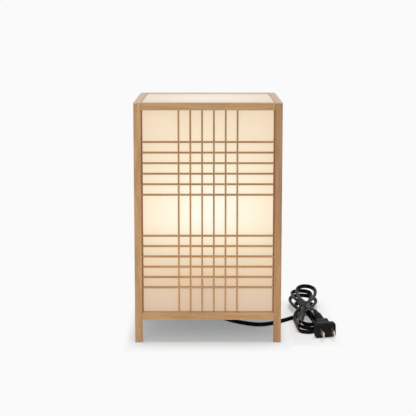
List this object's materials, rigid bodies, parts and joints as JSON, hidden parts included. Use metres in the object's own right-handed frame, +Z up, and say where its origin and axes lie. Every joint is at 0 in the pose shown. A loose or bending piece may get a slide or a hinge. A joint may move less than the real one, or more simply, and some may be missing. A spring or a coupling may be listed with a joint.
{
  "type": "andon floor lamp",
  "caption": "Square andon lamp: a wooden frame with half-lapped kumiko lattice, lit paper panels, a lift-off top, a flat black cord tied in a loose hank and a two-blade plug.",
  "frame": {"origin": "on the floor, under the middle of the square frame", "axes": "+Z up, -Y the front, +X to the right seen from the front"},
  "size_m": [0.2367, 0.203, 0.28],
  "materials": {
    "frame_wood": "satin",
    "kumiko_wood": "satin",
    "hidden_wood": "raw",
    "paper": "matte",
    "lid_panel": "matte",
    "holder_plastic": "matte",
    "shell_metal": "satin",
    "contact_brass": "satin",
    "screw_steel": "satin",
    "bulb_glass": "frosted",
    "cord_black": "satin",
    "plug_black": "satin",
    "blade_metal": "polished"
  },
  "bodies": {
    "frame": {"base_board": "hidden_wood", "board_ledges": "hidden_wood", "cord_bush": "plug_black", "cord_hank": "cord_black", "cord_lead": "cord_black", "cord_tail": "cord_black", "front_battens": "hidden_wood", "front_bottom_rail": "frame_wood", "front_crossbars": "kumiko_wood", "front_left_post": "frame_wood", "front_paper": "paper", "front_right_post": "frame_wood", "front_top_rail": "frame_wood", "front_uprights": "kumiko_wood", "hank_tie": "cord_black", "holder_body": "holder_plastic", "holder_contact": "contact_brass", "holder_screws": "screw_steel", "holder_shell": "shell_metal", "inner_leads": "cord_black", "left_battens": "hidden_wood", "left_bottom_rail": "frame_wood", "left_crossbars": "kumiko_wood", "left_paper": "paper", "left_top_rail": "frame_wood", "left_uprights": "kumiko_wood", "lid_ledges": "hidden_wood", "plug_blades": "blade_metal", "plug_body": "plug_black", "plug_relief": "plug_black", "rear_battens": "hidden_wood", "rear_bottom_rail": "frame_wood", "rear_crossbars": "kumiko_wood", "rear_left_post": "frame_wood", "rear_paper": "paper", "rear_right_post": "frame_wood", "rear_top_rail": "frame_wood", "rear_uprights": "kumiko_wood", "right_battens": "hidden_wood", "right_bottom_rail": "frame_wood", "right_crossbars": "kumiko_wood", "right_paper": "paper", "right_top_rail": "frame_wood", "right_uprights": "kumiko_wood"},
    "lid": {"lid": "lid_panel"},
    "bulb": {"bulb_glass": "bulb_glass", "bulb_cap": "shell_metal", "bulb_button": "contact_brass"}
  },
  "joints": [
    {"name": "lid_lift", "type": "slide", "parent": "frame", "child": "lid", "axis": [0, 0, 1], "range_m": [0, 0.05]},
    {"name": "bulb_unscrew", "type": "slide", "parent": "frame", "child": "bulb", "axis": [0, 0, 1], "range_m": [0, 0.03]}
  ]
}
